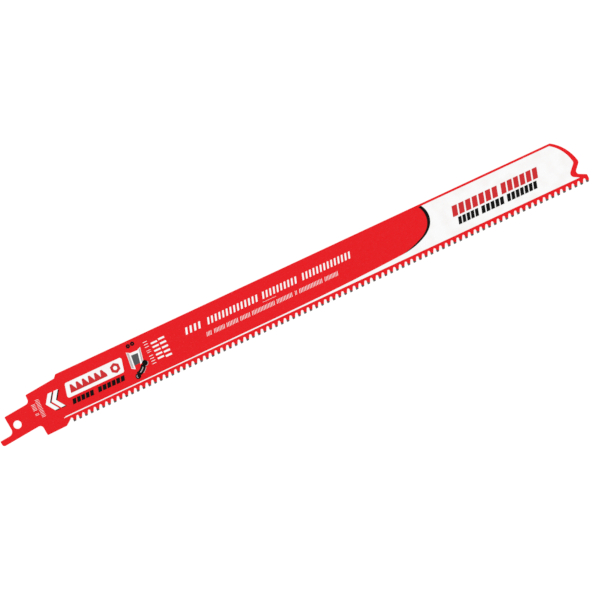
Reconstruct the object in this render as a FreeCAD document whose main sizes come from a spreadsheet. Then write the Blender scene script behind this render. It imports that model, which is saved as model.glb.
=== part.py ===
"""Carbide-tipped reciprocating saw blade with a 12.7 mm slotted tang.

Frame: the origin is on the axis of the tang hole, on the blade's underside. +X runs
along the straight back edge towards the nose, the teeth point to -Y and the printed
face looks to +Z. Lengths are in millimetres and angles in degrees.
"""
import FreeCAD, Part

import os

import Sketcher

# Driving dimensions: alias, value, what it measures
DIMENSIONS = [
    ("body_thickness", "1.27", "steel strip, face to face"),
    ("blade_width", "25.5", "back edge to the tooth line"),
    ("back_height", "14.885", "hole axis to the back edge"),
    ("tooth_pitch", "3.175", "one tooth to the next, 8 to the inch"),
    ("tooth_count", "90", "carbide teeth"),
    ("tooth_depth", "2.4", "gullet top to the tooth line"),
    ("first_tooth", "26.46", "hole axis to the first rake face"),
    ("gullet_radius", "0.59", "round of each gullet"),
    ("flank_angle", "63.7", "slope of each tooth's back"),
    ("seat_front", "1.2", "tooth line to the tip seat at the rake face"),
    ("seat_back", "0.38", "tooth line to the tip seat at the flank"),
    ("tip_width", "1.57", "carbide tips, side to side"),
    ("tip_lead", "0.1", "carbide ahead of the steel rake face"),
    ("tip_relief", "0.06", "drop of the tip's land behind its edge"),
    ("tang_cant", "5.25", "tang turned against the back edge"),
    ("tang_drop", "6.2", "hole axis to the tang's lower edge"),
    ("tang_rise", "6.5", "hole axis to the tang's upper edge"),
    ("tang_front", "3.84", "hole axis to the tang's front face"),
    ("tang_reach", "10.5", "hole axis to the heel's shoulder"),
    ("hole_diameter", "4.2", "locking hole"),
    ("leg_reach", "11.69", "hole axis to the end of the leg"),
    ("leg_height", "3.13", "leg, edge to edge"),
    ("leg_toe_radius", "1.4", "lower corner of the leg's end"),
    ("leg_root_radius", "2.4", "where the leg meets the front face"),
    ("heel_depth", "12.24", "hole axis to the heel's corner, square to the tang"),
    ("heel_run", "22.17", "hole axis to the end of the heel"),
    ("heel_end_depth", "10.98", "hole axis down to the end of the heel"),
    ("heel_radius", "1.8", "where the tang meets the heel"),
    ("shoulder_run", "9.8", "hole axis to the back shoulder"),
    ("shoulder_radius", "2.0", "where the tang meets the back shoulder"),
    ("neck_rise", "10.75", "hole axis to the neck's back, square to the tang"),
    ("neck_run", "27.3", "hole axis to the foot of the step, along the tang"),
    ("step_run", "27.73", "hole axis to the top of the step"),
    ("corner_radius", "0.5", "small corners of the outline"),
    ("nose_lead", "1.75", "last rake face to the front of the nose"),
    ("nose_radius", "21.0", "sweep of the nose"),
    ("nose_setback", "10.5", "front of the nose to the end of the back edge"),
    ("beak_setback", "1.1", "front of the nose to the beak"),
    ("beak_rise", "11.1", "tooth line to the beak"),
    ("beak_radius", "2.0", "round of the beak"),
    ("notch_setback", "5.4", "front of the nose to the notch"),
    ("notch_rise", "6.4", "tooth line to the notch"),
    ("notch_radius", "1.55", "round of the notch"),
    ("hook_rise", "3.7", "tooth line to the hook below the notch"),
    ("ink_thickness", "0.03", "printed layer"),
    ("ink_back_margin", "1.12", "back edge to the pale panel"),
    ("ink_tooth_margin", "1.3", "gullet tops to the pale panel"),
    ("panel_hook_setback", "4.0", "front of the nose to the panel's lower point"),
    ("panel_notch_setback", "8.8", "front of the nose to the panel's notch"),
    ("panel_notch_rise", "6.35", "tooth line to the panel's notch"),
    ("panel_notch_radius", "2.0", "round of the panel's notch"),
    ("panel_beak_setback", "3.7", "front of the nose to the panel's beak"),
    ("panel_beak_rise", "11.8", "tooth line to the panel's beak"),
    ("panel_beak_radius", "1.5", "round of the panel's beak"),
    ("panel_nose_setback", "11.3", "front of the nose to the panel's upper right corner"),
    ("panel_nose_radius", "17.8", "sweep of the panel's nose"),
    ("swoop_setback", "89.8", "front of the nose to the centre of the round end"),
    ("swoop_rise", "15.23", "panel's lower edge to the centre of the round end"),
    ("swoop_corner_run", "8.0", "that centre to the panel's upper left corner"),
    ("swoop_radius", "9.34", "round end of the panel"),
    ("swoop_second_radius", "14.9", "first easing of the round end"),
    ("swoop_third_radius", "33.9", "second easing of the round end"),
    ("swoop_last_radius", "1376", "long easing into the stripe"),
    ("swoop_first_angle", "47.5", "where the first easing starts, below level"),
    ("swoop_second_angle", "64", "where the second easing starts, below level"),
    ("swoop_last_angle", "87", "where the long easing starts, below level"),
    ("stripe_middle", "86.7", "hole axis to where the stripe stops thinning"),
    ("stripe_start", "23.8", "hole axis to the full width of the stripe"),
    ("stripe_point", "1.56", "slanted start of the stripe"),
    ("stripe_thickness", "0.52", "thin end of the stripe"),
    ("crescent_width", "1.62", "dark crescent at the panel's upper edge"),
    ("crescent_waist", "1.2", "crescent where the first easing starts"),
    ("crescent_thin", "0.9", "crescent where the second easing starts"),
    ("crescent_tail_radius", "50", "inside of the crescent's tail"),
    ("label_start", "28.3", "hole axis to the label plate"),
    ("label_length", "31.2", "label plate along its lower edge"),
    ("label_height", "7.45", "label plate, edge to edge"),
    ("label_rise", "1.27", "hole axis to the label plate's lower edge"),
    ("label_slant", "13", "lean of the label plate's ends"),
    ("label_radius", "1.0", "corners of the label plate"),
]

# Two points closer than this across the blade are one upright edge
SAME_SPOT = 1e-6

# Expressions that several outlines share
CANT_COS = "cos(Sizes.tang_cant)"
CANT_SIN = "sin(Sizes.tang_cant)"
TOOTH_LINE = "Sizes.back_height - Sizes.blade_width"
GULLET_LINE = f"{TOOTH_LINE} + Sizes.tooth_depth"
NOSE_FRONT = ("Sizes.first_tooth + (Sizes.tooth_count - 1) * Sizes.tooth_pitch"
              " + Sizes.nose_lead")
LAND = ("(Sizes.tooth_pitch - Sizes.gullet_radius * (1 + sin(Sizes.flank_angle))"
        " - (Sizes.tooth_depth - Sizes.gullet_radius * (1 - cos(Sizes.flank_angle)))"
        " / tan(Sizes.flank_angle))")
SEAT_END = f"({LAND} + Sizes.seat_back / tan(Sizes.flank_angle))"
SEAT_SLOPE = f"((Sizes.seat_front - Sizes.seat_back) / {SEAT_END})"
INK_TOP = "Sizes.back_height - Sizes.ink_back_margin"
INK_BOTTOM = f"{GULLET_LINE} + Sizes.ink_tooth_margin"


def make_sizes(doc):
    """The spreadsheet of driving dimensions."""
    sheet = doc.addObject("Spreadsheet::Sheet", "Sizes")
    for row, (alias, value, note) in enumerate(DIMENSIONS, start=1):
        sheet.set(f"A{row}", alias)
        sheet.set(f"B{row}", value)
        sheet.set(f"C{row}", note)
        sheet.setAlias(f"B{row}", alias)
    doc.recompute()
    return sheet


def on_tang(along, across):
    """A station given along and square to the canted tang, as x and y expressions."""
    return (f"({along}) * {CANT_COS} - ({across}) * {CANT_SIN}",
            f"({along}) * {CANT_SIN} + ({across}) * {CANT_COS}")


def from_nose(setback, rise):
    """A station behind the nose's front and above the tooth line."""
    return (f"{NOSE_FRONT} - ({setback})", f"{TOOTH_LINE} + ({rise})")


def new_body(doc, name):
    """An empty body whose label names its file."""
    body = doc.addObject("PartDesign::Body", name)
    body.Label = name
    return body


def new_sketch(body, name, height):
    """A sketch on the body's own XY plane, lifted to a height expression."""
    sketch = body.newObject("Sketcher::SketchObject", name)
    planes = [item for item in body.Origin.OriginFeatures if item.Role == "XY_Plane"]
    sketch.AttachmentSupport = [(planes[0], "")]
    sketch.MapMode = "FlatFace"
    sketch.setExpression("AttachmentOffset.Base.z", height)
    return sketch


def bind(sketch, constraint, expression):
    """Add a dimension whose value follows an expression over the sheet."""
    index = sketch.addConstraint(constraint)
    sketch.setExpression(f"Constraints[{index}]", expression)


def middle_of_arc(start, end, radius, side):
    """Point half-way round the short arc that bulges to the left (1) or right (-1)."""
    chord = end - start
    half = chord.Length / 2
    bulge = radius - (radius ** 2 - half ** 2) ** 0.5
    left = FreeCAD.Vector(-chord.y, chord.x, 0).normalize()
    return (start + end) * 0.5 + left * bulge * side


def draw_outline(sketch, stations):
    """Draw a closed outline through its stations, with each one bound to the sheet.

    A station is (x, y), followed by a straight edge, or (x, y, radius, side), followed
    by an arc that bulges to the left (1) or right (-1) of the way round.
    """
    points = [FreeCAD.Vector(sketch.evalExpression(station[0]),
                             sketch.evalExpression(station[1]), 0)
              for station in stations]
    ends = []
    for index, station in enumerate(stations):
        start, end = points[index], points[(index + 1) % len(points)]
        if len(station) == 2:
            edge = sketch.addGeometry(Part.LineSegment(start, end))
            ends.append((edge, 1, 2))
            continue
        radius, side = station[2], station[3]
        middle = middle_of_arc(start, end, sketch.evalExpression(radius), side)
        # A sketch keeps its arcs anticlockwise, so one that bulges left is drawn backwards.
        if side > 0:
            edge = sketch.addGeometry(Part.Arc(end, middle, start))
            ends.append((edge, 2, 1))
        else:
            edge = sketch.addGeometry(Part.Arc(start, middle, end))
            ends.append((edge, 1, 2))
    for (edge, _, tail), (following, head, _) in zip(ends, ends[1:] + ends[:1]):
        sketch.addConstraint(Sketcher.Constraint("Coincident", edge, tail, following, head))
    for station, point, (edge, head, _) in zip(stations, points, ends):
        bind(sketch, Sketcher.Constraint("DistanceX", -1, 1, edge, head, point.x), station[0])
        bind(sketch, Sketcher.Constraint("DistanceY", -1, 1, edge, head, point.y), station[1])
        if len(station) == 4:
            radius = sketch.evalExpression(station[2])
            bind(sketch, Sketcher.Constraint("Radius", edge, radius), station[2])


def pad(body, sketch, name, length):
    """Raise a sketch into a solid."""
    feature = body.newObject("PartDesign::Pad", name)
    feature.Profile = sketch
    feature.setExpression("Length", length)
    body.Document.recompute()
    return feature


def cut_through(body, sketch, name):
    """Cut a sketch upwards through the whole body and check that it removed metal."""
    before = body.Shape.Volume
    feature = body.newObject("PartDesign::Pocket", name)
    feature.Profile = sketch
    feature.Type = "ThroughAll"
    feature.Reversed = True
    body.Document.recompute()
    if not feature.Shape.Volume < before:
        raise RuntimeError(f"{name} cuts nothing")
    return feature


def repeat_along_blade(body, feature, name):
    """Repeat a tooth feature at the tooth pitch; returns the pattern."""
    axes = [item for item in body.Origin.OriginFeatures if item.Role == "X_Axis"]
    pattern = body.newObject("PartDesign::LinearPattern", name)
    pattern.Originals = [feature]
    pattern.Direction = (axes[0], [""])
    pattern.Mode = "Spacing"
    pattern.setExpression("Offset", "Sizes.tooth_pitch")
    return pattern


def round_corners(body, name, corners, radius):
    """Round the upright edges that stand at the given stations."""
    base = body.Tip
    wanted = [(base.evalExpression(x), base.evalExpression(y)) for x, y in corners]
    uprights = []
    for number, edge in enumerate(base.Shape.Edges, start=1):
        low, high = edge.Vertexes[0].Point, edge.Vertexes[-1].Point
        if abs(low.x - high.x) + abs(low.y - high.y) < SAME_SPOT:
            uprights.append((number, low.x, low.y))
    names = []
    for x, y in wanted:
        nearest = min(uprights, key=lambda item: (item[1] - x) ** 2 + (item[2] - y) ** 2)
        names.append(f"Edge{nearest[0]}")
    feature = body.newObject("PartDesign::Fillet", name)
    feature.Base = (base, names)
    feature.setExpression("Radius", radius)
    body.Document.recompute()


# Corners of the tang, heel and neck
LEG_TOE = on_tang("-Sizes.leg_reach", "-Sizes.tang_drop")
LEG_TIP = on_tang("-Sizes.leg_reach", "Sizes.leg_height - Sizes.tang_drop")
LEG_ROOT = on_tang("-Sizes.tang_front", "Sizes.leg_height - Sizes.tang_drop")
TANG_CORNER = on_tang("-Sizes.tang_front", "Sizes.tang_rise")
TANG_HEEL = on_tang("Sizes.tang_reach", "-Sizes.tang_drop")
HEEL_CORNER = on_tang("Sizes.tang_reach", "-Sizes.heel_depth")
HEEL_END = ("Sizes.heel_run", "-Sizes.heel_end_depth")
SHOULDER_FOOT = ("Sizes.shoulder_run",
                 f"(Sizes.tang_rise + Sizes.shoulder_run * {CANT_SIN}) / {CANT_COS}")
SHOULDER_TOP = ("Sizes.shoulder_run",
                f"(Sizes.neck_rise + Sizes.shoulder_run * {CANT_SIN}) / {CANT_COS}")
STEP_FOOT = on_tang("Sizes.neck_run", "Sizes.neck_rise")
STEP_TOP = ("Sizes.step_run", "Sizes.back_height")

# Corners of the toothed edge and the nose
RAMP_TOP = ("Sizes.first_tooth - Sizes.gullet_radius", GULLET_LINE)
TOOTH_START = ("Sizes.first_tooth - Sizes.gullet_radius", TOOTH_LINE)
NOSE_FOOT = (NOSE_FRONT, TOOTH_LINE)
HOOK = from_nose("0", "Sizes.hook_rise")
NOTCH = from_nose("Sizes.notch_setback", "Sizes.notch_rise")
BEAK = from_nose("Sizes.beak_setback", "Sizes.beak_rise")
BACK_END = (f"{NOSE_FRONT} - Sizes.nose_setback", "Sizes.back_height")


def make_blade_body(doc):
    """The steel strip: tang, hole, neck, heel, nose and the seats for the tips."""
    body = new_body(doc, "blade_body")
    outline = new_sketch(body, "blade_outline", "0")
    draw_outline(outline, [
        LEG_TOE, TANG_HEEL, HEEL_CORNER, HEEL_END, RAMP_TOP, TOOTH_START, NOSE_FOOT,
        HOOK, NOTCH, BEAK + ("Sizes.nose_radius", -1), BACK_END, STEP_TOP, STEP_FOOT,
        SHOULDER_TOP, SHOULDER_FOOT, TANG_CORNER, LEG_ROOT, LEG_TIP])
    pad(body, outline, "strip", "Sizes.body_thickness")

    round_corners(body, "small_corners",
                  [LEG_TIP, TANG_CORNER, HEEL_CORNER, SHOULDER_TOP, HOOK],
                  "Sizes.corner_radius")
    round_corners(body, "leg_toe", [LEG_TOE], "Sizes.leg_toe_radius")
    round_corners(body, "leg_root", [LEG_ROOT], "Sizes.leg_root_radius")
    round_corners(body, "heel_fillet", [TANG_HEEL], "Sizes.heel_radius")
    round_corners(body, "shoulder_fillet", [SHOULDER_FOOT], "Sizes.shoulder_radius")
    round_corners(body, "beak", [BEAK], "Sizes.beak_radius")
    round_corners(body, "notch", [NOTCH], "Sizes.notch_radius")

    hole = new_sketch(body, "hole_outline", "0")
    radius = hole.evalExpression("Sizes.hole_diameter") / 2
    hole.addGeometry(Part.Circle(FreeCAD.Vector(), FreeCAD.Vector(0, 0, 1), radius))
    hole.addConstraint(Sketcher.Constraint("Coincident", 0, 3, -1, 1))
    bind(hole, Sketcher.Constraint("Diameter", 0, 2 * radius), "Sizes.hole_diameter")
    cut_through(body, hole, "tang_hole")

    gullet = new_sketch(body, "gullet_outline", "0")
    draw_outline(gullet, gullet_stations())
    first_gullet = cut_through(body, gullet, "first_gullet")
    gullets = repeat_along_blade(body, first_gullet, "gullets")
    gullets.setExpression("Occurrences", "Sizes.tooth_count + 1")
    body.Tip = gullets
    doc.recompute()
    return body


def gullet_stations():
    """One gullet with the tip seat behind it, open below the tooth line.

    The round is tangent to the flank of the tooth before and to the upright rake face.
    """
    radius = "Sizes.gullet_radius"
    slope = "Sizes.flank_angle"
    below = f"({radius})"
    centre_x = f"Sizes.first_tooth - {radius}"
    centre_y = f"{GULLET_LINE} - {radius}"
    flank_top = (f"{centre_x} - {radius} * sin({slope})", f"{centre_y} + {radius} * cos({slope})")
    face_top = ("Sizes.first_tooth", centre_y)
    crown = (centre_x, GULLET_LINE)
    seat_front = ("Sizes.first_tooth", f"{TOOTH_LINE} + Sizes.seat_front")
    seat_past_end = (f"Sizes.first_tooth + (Sizes.seat_front + {below}) / {SEAT_SLOPE}",
                     f"{TOOTH_LINE} - {below}")
    flank_foot = (f"Sizes.first_tooth - Sizes.tooth_pitch + {LAND} - {below} / tan({slope})",
                  f"{TOOTH_LINE} - {below}")
    return [flank_foot, flank_top + (radius, 1), crown + (radius, 1), face_top, seat_front,
            seat_past_end]


def make_carbide_tips(doc):
    """The row of carbide tips, each on the seat of its own tooth, wider than the steel."""
    body = new_body(doc, "carbide_tips")
    outline = new_sketch(body, "tip_outline", "(Sizes.body_thickness - Sizes.tip_width) / 2")
    draw_outline(outline, [
        ("Sizes.first_tooth - Sizes.tip_lead", TOOTH_LINE),
        (f"Sizes.first_tooth + {SEAT_END} - (Sizes.seat_back - Sizes.tip_relief)"
         " / tan(Sizes.flank_angle)", f"{TOOTH_LINE} + Sizes.tip_relief"),
        (f"Sizes.first_tooth + {SEAT_END}", f"{TOOTH_LINE} + Sizes.seat_back"),
        ("Sizes.first_tooth - Sizes.tip_lead",
         f"{TOOTH_LINE} + Sizes.seat_front + Sizes.tip_lead * {SEAT_SLOPE}")])
    first_tip = pad(body, outline, "first_tip", "Sizes.tip_width")
    tips = repeat_along_blade(body, first_tip, "tips")
    tips.setExpression("Occurrences", "Sizes.tooth_count")
    body.Tip = tips
    doc.recompute()
    return body


# Centre of the panel's round end
SWOOP_CENTRE = (f"{NOSE_FRONT} - Sizes.swoop_setback", f"{INK_BOTTOM} + Sizes.swoop_rise")
SWOOP_RADII = ["Sizes.swoop_radius", "Sizes.swoop_second_radius", "Sizes.swoop_third_radius",
               "Sizes.swoop_last_radius"]
SWOOP_ANGLES = ["Sizes.swoop_first_angle", "Sizes.swoop_second_angle",
                "Sizes.swoop_last_angle"]


def below_level(centre, radius, angle):
    """Station at a radius from a centre, at an angle below level."""
    return (f"{centre[0]} + ({radius}) * cos({angle})",
            f"{centre[1]} - ({radius}) * sin({angle})")


def swoop_centres():
    """Centres of the round end and its easings, each on the line through the last joint."""
    centres = [SWOOP_CENTRE]
    for angle, radius_in, radius_out in zip(SWOOP_ANGLES, SWOOP_RADII, SWOOP_RADII[1:]):
        centres.append(below_level(centres[-1], f"{radius_in} - {radius_out}", angle))
    return centres


def swoop_stations():
    """Joints of the panel's round end, from its upper corner down into the stripe."""
    centres = swoop_centres()
    joints = [below_level(centre, radius, angle)
              for centre, radius, angle in zip(centres, SWOOP_RADII, SWOOP_ANGLES)]
    corner = (f"{SWOOP_CENTRE[0]} + Sizes.swoop_corner_run", INK_TOP)
    bottom = (centres[-1][0], f"{centres[-1][1]} - {SWOOP_RADII[-1]}")
    return [corner] + joints + [bottom]


def make_white_print(doc):
    """The pale panel with its long thin stripe, and the label plate near the tang."""
    body = new_body(doc, "white_print")
    panel = new_sketch(body, "panel_outline", "Sizes.body_thickness")
    corner, *joints, bottom = swoop_stations()
    notch = from_nose("Sizes.panel_notch_setback", "Sizes.panel_notch_rise")
    beak = from_nose("Sizes.panel_beak_setback", "Sizes.panel_beak_rise")
    stripe_top = f"{INK_BOTTOM} + Sizes.stripe_thickness"
    draw_outline(panel, [
        corner + ("Sizes.swoop_radius", 1),
        joints[0] + ("Sizes.swoop_second_radius", 1),
        joints[1] + ("Sizes.swoop_third_radius", 1),
        joints[2] + ("Sizes.swoop_last_radius", 1),
        bottom,
        ("Sizes.stripe_middle", stripe_top),
        ("Sizes.stripe_start", stripe_top),
        ("Sizes.stripe_start - Sizes.stripe_point", INK_BOTTOM),
        (f"{NOSE_FRONT} - Sizes.panel_hook_setback", INK_BOTTOM),
        notch,
        beak + ("Sizes.panel_nose_radius", -1),
        (f"{NOSE_FRONT} - Sizes.panel_nose_setback", INK_TOP)])
    pad(body, panel, "panel", "Sizes.ink_thickness")
    round_corners(body, "panel_notch", [notch], "Sizes.panel_notch_radius")
    round_corners(body, "panel_beak", [beak], "Sizes.panel_beak_radius")

    label = new_sketch(body, "label_outline", "Sizes.body_thickness")
    lean = "Sizes.label_height * tan(Sizes.label_slant)"
    label_top = "Sizes.label_rise + Sizes.label_height"
    corners = [
        ("Sizes.label_start", "Sizes.label_rise"),
        ("Sizes.label_start + Sizes.label_length", "Sizes.label_rise"),
        (f"Sizes.label_start + Sizes.label_length + {lean}", label_top),
        (f"Sizes.label_start + {lean}", label_top)]
    draw_outline(label, corners)
    pad(body, label, "label_plate", "Sizes.ink_thickness")
    round_corners(body, "label_corners", corners, "Sizes.label_radius")
    return body


def make_black_print(doc):
    """The dark crescent that backs the panel's round end."""
    body = new_body(doc, "black_print")
    crescent = new_sketch(body, "crescent_outline", "Sizes.body_thickness")
    corner, *joints, _ = swoop_stations()
    centres = swoop_centres()
    waist = below_level(centres[0], f"{SWOOP_RADII[0]} - Sizes.crescent_waist", SWOOP_ANGLES[0])
    thin = below_level(centres[1], f"{SWOOP_RADII[1]} - Sizes.crescent_thin", SWOOP_ANGLES[1])
    start = (f"{corner[0]} - Sizes.crescent_width", INK_TOP)
    draw_outline(crescent, [
        corner + ("Sizes.swoop_radius", 1),
        joints[0] + ("Sizes.swoop_second_radius", 1),
        joints[1] + ("Sizes.swoop_third_radius", 1),
        joints[2] + ("Sizes.crescent_tail_radius", -1),
        thin + ("Sizes.swoop_second_radius", -1),
        waist + ("Sizes.swoop_radius", -1),
        start])
    pad(body, crescent, "crescent", "Sizes.ink_thickness")
    return body


def check(doc, parts):
    """Stop if any object failed or any sub-part has no valid shape."""
    for item in doc.Objects:
        if "Invalid" in item.State or "Error" in item.State:
            raise RuntimeError(f"{item.Label} failed: {item.State}")
    for item in parts:
        if item.Shape.isNull() or not item.Shape.isValid():
            raise RuntimeError(f"{item.Label} has no valid shape")


doc = FreeCAD.newDocument("saw_blade")
make_sizes(doc)
sub_parts = [make_blade_body(doc), make_carbide_tips(doc), make_white_print(doc),
             make_black_print(doc)]
doc.recompute()
check(doc, sub_parts)

os.makedirs("parts", exist_ok=True)
for sub_part in sub_parts:
    sub_part.Shape.exportStep(f"parts/{sub_part.Label}.step")
    box = sub_part.Shape.BoundBox
    print(f"{sub_part.Label}: {len(sub_part.Shape.Solids)} solids,"
          f" volume {sub_part.Shape.Volume:.2f} mm3, X {box.XMin:.2f} to {box.XMax:.2f},"
          f" Y {box.YMin:.2f} to {box.YMax:.2f}, Z {box.ZMin:.3f} to {box.ZMax:.3f}")
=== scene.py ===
"""Looks of a carbide-tipped reciprocating saw blade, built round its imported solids.

Frame: the origin is on the axis of the tang hole, on the blade's underside. +X runs along
the back edge towards the nose, the teeth point to -Y and the printed face looks to +Z.
Sizes are fields in millimetres; meshes are in metres.
"""
import logging
import math
from dataclasses import dataclass, field
from enum import Enum
from typing import Any, Iterable, Sequence

import bmesh
import bpy
from mathutils import Matrix, Vector


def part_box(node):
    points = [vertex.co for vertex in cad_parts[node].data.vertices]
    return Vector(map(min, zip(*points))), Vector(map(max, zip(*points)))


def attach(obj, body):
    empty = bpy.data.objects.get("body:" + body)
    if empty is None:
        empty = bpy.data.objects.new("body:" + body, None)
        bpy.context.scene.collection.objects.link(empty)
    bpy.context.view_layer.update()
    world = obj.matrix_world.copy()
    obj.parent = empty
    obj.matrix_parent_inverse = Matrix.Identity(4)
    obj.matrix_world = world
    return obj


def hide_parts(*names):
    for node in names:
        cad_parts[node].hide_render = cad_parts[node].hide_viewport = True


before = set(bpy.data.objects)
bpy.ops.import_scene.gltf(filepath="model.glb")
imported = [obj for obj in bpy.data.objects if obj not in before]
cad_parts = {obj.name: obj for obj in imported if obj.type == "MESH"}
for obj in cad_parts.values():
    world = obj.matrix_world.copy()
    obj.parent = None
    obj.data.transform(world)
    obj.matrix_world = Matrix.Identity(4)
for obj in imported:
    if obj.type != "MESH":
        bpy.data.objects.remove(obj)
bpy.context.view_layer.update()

log = logging.getLogger("saw_blade")

MM = 0.001
BODY = "root"

# Corners nearer than this, in metres, are one corner
SAME_SPOT = 1e-7

# Texture units from one rib of a wave texture to the next, at a scale of one
WAVE_PERIOD = 2 * math.pi / 20

# Height of the printed face and thickness of the print, in millimetres
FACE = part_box("blade_body")[1].z / MM
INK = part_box("black_print")[1].z / MM - FACE

Point = tuple[float, float]


class Slot(Enum):
    """Material slots of the record."""

    ENAMEL = "red_enamel"
    CARBIDE = "carbide"
    WHITE = "white_ink"
    BLACK = "black_ink"


class Reading(Enum):
    """Which way a printed line runs."""

    ALONG = 0.0
    UPWARDS = 90.0


class Ink(Enum):
    """Inks on the upper face, each with the record slot that its pieces are logged under."""

    WHITE = ("white", Slot.WHITE)
    BLACK = ("black", Slot.BLACK)
    RED = ("red", Slot.ENAMEL)
    GREY = ("grey", Slot.BLACK)
    SILVER = ("silver", Slot.WHITE)

    @property
    def slot(self) -> Slot:
        """The slot that a piece in this ink is logged under."""
        return self.value[1]


def linear(hex_colour: str) -> tuple[float, float, float, float]:
    """Turn an sRGB hex colour to linear light.

    Args:
        hex_colour: Six hex digits after a hash.

    Returns:
        Red, green, blue and an alpha of one.
    """
    channels = [int(hex_colour[start:start + 2], 16) / 255 for start in (1, 3, 5)]
    red, green, blue = [value / 12.92 if value <= 0.04045 else ((value + 0.055) / 1.055) ** 2.4
                        for value in channels]
    return red, green, blue, 1.0


def per_size(size_mm: float) -> float:
    """Return the texture scale whose features measure size_mm on Object coordinates."""
    return 1 / (size_mm * MM)


def add_node(tree: bpy.types.NodeTree, kind: str, inputs: dict[Any, Any] | None = None,
             **settings: Any) -> bpy.types.Node:
    """Add a node with its settings, socket values and links.

    Args:
        tree: The tree that gets the node.
        kind: The node's type name.
        inputs: Value or linked output socket for each input, by name or number.
        **settings: Properties of the node.

    Returns:
        The new node.
    """
    node = tree.nodes.new(kind)
    for name, value in settings.items():
        setattr(node, name, value)
    for key, value in (inputs or {}).items():
        if isinstance(value, bpy.types.NodeSocket):
            tree.links.new(value, node.inputs[key])
        else:
            node.inputs[key].default_value = value
    return node


def new_material(name: str) -> tuple[bpy.types.Material, bpy.types.NodeTree]:
    """Make an empty node material.

    Args:
        name: The finish's name.

    Returns:
        The material and its node tree.
    """
    material = bpy.data.materials.new(name)
    material.use_nodes = True
    material.node_tree.nodes.clear()
    return material, material.node_tree


@dataclass(frozen=True)
class Enamel:
    """Baked enamel sprayed on a steel strip: an even, semi-gloss coat with a faint orange peel.

    The broad patches and the grit move its colour by a shade or so, as on the photograph.
    """

    name: str = "baked_red_enamel"
    colour: str = "#D90612"
    thin_colour: str = "#D10510"
    peel_mm: float = 1.6
    patch_mm: float = 22.0
    grit_mm: float = 0.35
    peel_depth_mm: float = 0.006
    roughness: float = 0.26
    gloss_spread: float = 0.05
    ior: float = 1.4

    def material(self) -> bpy.types.Material:
        """Build the enamel: colour drifts in broad patches, gloss and bump follow the peel.

        Returns:
            The finished material.
        """
        material, tree = new_material(self.name)
        place = add_node(tree, "ShaderNodeTexCoord").outputs["Object"]
        patches = add_node(tree, "ShaderNodeTexNoise", {
            "Vector": place, "Scale": per_size(self.patch_mm), "Detail": 3.0})
        grit = add_node(tree, "ShaderNodeTexNoise", {
            "Vector": place, "Scale": per_size(self.grit_mm), "Detail": 2.0})
        share = add_node(tree, "ShaderNodeMath", {
            0: patches.outputs["Fac"], 1: grit.outputs["Fac"]}, operation="MULTIPLY")
        tint = add_node(tree, "ShaderNodeMix", {
            "Factor": share.outputs[0], "A": linear(self.colour), "B": linear(self.thin_colour)},
            data_type="RGBA")
        # The real peel is about a millimetre across, and is drawn a little coarser to show.
        peel = add_node(tree, "ShaderNodeTexNoise", {
            "Vector": place, "Scale": per_size(self.peel_mm), "Detail": 1.0})
        gloss = add_node(tree, "ShaderNodeMapRange", {
            "Value": peel.outputs["Fac"], "To Min": self.roughness - self.gloss_spread,
            "To Max": self.roughness + self.gloss_spread})
        bump = add_node(tree, "ShaderNodeBump", {
            "Height": peel.outputs["Fac"], "Distance": self.peel_depth_mm * MM, "Strength": 1.0})
        shader = add_node(tree, "ShaderNodeBsdfPrincipled", {
            "Base Color": tint.outputs["Result"], "Roughness": gloss.outputs[0],
            "IOR": self.ior, "Normal": bump.outputs[0]})
        add_node(tree, "ShaderNodeOutputMaterial", {"Surface": shader.outputs[0]})
        return material


@dataclass(frozen=True)
class ScreenInk:
    """Screen-printed ink: a flat, slightly matt film with the weave of the screen in it."""

    name: str
    colour: str
    thin_colour: str
    weave_mm: float = 0.31416
    patch_mm: float = 5.0
    thin_from: float = 0.45
    thin_to: float = 0.8
    weave_depth_mm: float = 0.003
    roughness: float = 0.48
    gloss_spread: float = 0.08
    ior: float = 1.48

    def material(self) -> bpy.types.Material:
        """Build the ink: the coat thins in spots, and two crossed ribs give the weave.

        Returns:
            The finished material.
        """
        material, tree = new_material(self.name)
        place = add_node(tree, "ShaderNodeTexCoord").outputs["Object"]
        patches = add_node(tree, "ShaderNodeTexNoise", {
            "Vector": place, "Scale": per_size(self.patch_mm), "Detail": 4.0})
        spots = add_node(tree, "ShaderNodeMapRange", {
            "Value": patches.outputs["Fac"], "From Min": self.thin_from,
            "From Max": self.thin_to})
        tint = add_node(tree, "ShaderNodeMix", {
            "Factor": spots.outputs[0], "A": linear(self.colour), "B": linear(self.thin_colour)},
            data_type="RGBA")
        # A real screen has about six threads to the millimetre; these are coarser to show.
        scale = per_size(self.weave_mm) * WAVE_PERIOD
        warp = add_node(tree, "ShaderNodeTexWave", {"Vector": place, "Scale": scale},
                        bands_direction="X")
        weft = add_node(tree, "ShaderNodeTexWave", {"Vector": place, "Scale": scale},
                        bands_direction="Y")
        weave = add_node(tree, "ShaderNodeMath", {
            0: warp.outputs["Fac"], 1: weft.outputs["Fac"]}, operation="ADD")
        bump = add_node(tree, "ShaderNodeBump", {
            "Height": weave.outputs[0], "Distance": self.weave_depth_mm * MM, "Strength": 0.5})
        gloss = add_node(tree, "ShaderNodeMapRange", {
            "Value": patches.outputs["Fac"], "To Min": self.roughness - self.gloss_spread,
            "To Max": self.roughness + self.gloss_spread})
        shader = add_node(tree, "ShaderNodeBsdfPrincipled", {
            "Base Color": tint.outputs["Result"], "Roughness": gloss.outputs[0],
            "IOR": self.ior, "Normal": bump.outputs[0]})
        add_node(tree, "ShaderNodeOutputMaterial", {"Surface": shader.outputs[0]})
        return material


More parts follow.
